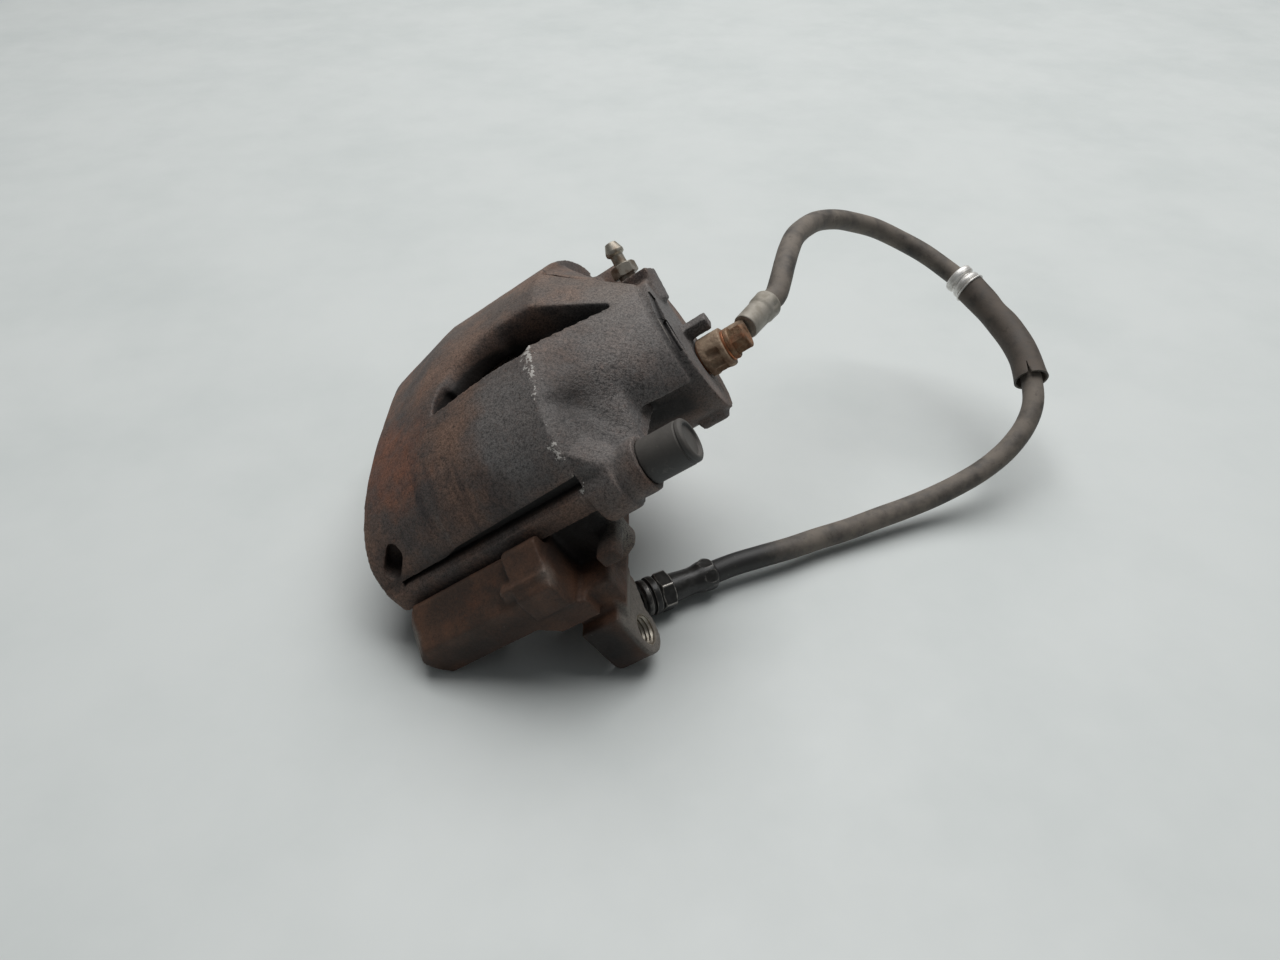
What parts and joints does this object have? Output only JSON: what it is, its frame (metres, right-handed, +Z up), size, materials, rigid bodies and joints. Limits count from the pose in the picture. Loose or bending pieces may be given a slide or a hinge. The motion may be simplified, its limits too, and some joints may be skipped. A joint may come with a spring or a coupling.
{
  "type": "brake caliper",
  "caption": "Floating brake caliper with a sliding housing on a cast carrier, piston, pads, guide pins, bleed screw and a flexible hose with a banjo end.",
  "frame": {"origin": "on the bench under the middle of the caliper, leaving out the hose", "axes": "+X horizontal, along the bench towards the inboard side that the piston opens away from; +Y along the pads, away from the camera; +Z up"},
  "size_m": [0.3455, 0.2584, 0.1389],
  "materials": {
    "carrier": "rusty rough casting",
    "guide_pins": "dull plated steel",
    "guide_bushes": "black rubber",
    "pin_caps": "dusty dark grey plastic",
    "caliper_housing": "rusty rough casting",
    "piston": "ground steel",
    "piston_seal": "black rubber",
    "dust_boot": "dusty black rubber",
    "inner_pad_plate": "worn dark paint",
    "inner_pad_lining": "grainy friction material",
    "outer_pad_plate": "worn dark paint",
    "outer_pad_lining": "grainy friction material",
    "bleed_screw": "tarnished steel",
    "banjo_bolt": "orange rust",
    "sealing_washers": "tarnished copper",
    "banjo_fitting": "brown rust",
    "hose_ferrule": "dusty zinc plating",
    "brake_hose": "dusty rubber",
    "hose_support_ring": "zinc plating",
    "hose_sleeve": "dusty rubber",
    "end_ferrule": "worn black coating",
    "end_fitting": "worn black coating"
  },
  "bodies": {
    "carrier_body": {"carrier": "carrier", "guide_pins": "guide_pins"},
    "housing_body": {"caliper_housing": "caliper_housing", "guide_bushes": "guide_bushes", "pin_caps": "pin_caps", "piston_seal": "piston_seal", "dust_boot": "dust_boot", "banjo_bolt": "banjo_bolt", "sealing_washers": "sealing_washers", "banjo_fitting": "banjo_fitting", "hose_ferrule": "hose_ferrule", "brake_hose": "brake_hose", "hose_support_ring": "hose_support_ring", "hose_sleeve": "hose_sleeve", "end_ferrule": "end_ferrule", "end_fitting": "end_fitting"},
    "piston_body": {"piston": "piston"},
    "inner_pad_body": {"inner_pad_plate": "inner_pad_plate", "inner_pad_lining": "inner_pad_lining"},
    "outer_pad_body": {"outer_pad_plate": "outer_pad_plate", "outer_pad_lining": "outer_pad_lining"},
    "bleed_screw_body": {"bleed_screw": "bleed_screw"}
  },
  "joints": [
    {"name": "housing_slide", "type": "slide", "parent": "carrier_body", "child": "housing_body", "axis": [0.8217, 0, 0.5699], "range_m": [0, 0.01]},
    {"name": "piston_slide", "type": "slide", "parent": "housing_body", "child": "piston_body", "axis": [-0.8217, 0, -0.5699], "range_m": [0, 0.012]},
    {"name": "inner_pad_slide", "type": "slide", "parent": "carrier_body", "child": "inner_pad_body", "axis": [-0.8217, 0, -0.5699], "range_m": [0, 0.012]},
    {"name": "outer_pad_slide", "type": "slide", "parent": "carrier_body", "child": "outer_pad_body", "axis": [0.8217, 0, 0.5699], "range_m": [0, 0.01]},
    {"name": "bleed_screw_turn", "type": "hinge", "parent": "housing_body", "child": "bleed_screw_body", "pos_m": [0.03081, 0.02179, 0.12394], "axis": [-0.478, 0.5446, 0.6891], "range_deg": [0, 270]}
  ],
  "couplings": [
    {"joint": "outer_pad_slide", "follows": "housing_slide", "ratio": 1},
    {"joint": "inner_pad_slide", "follows": "piston_slide", "ratio": 1}
  ]
}
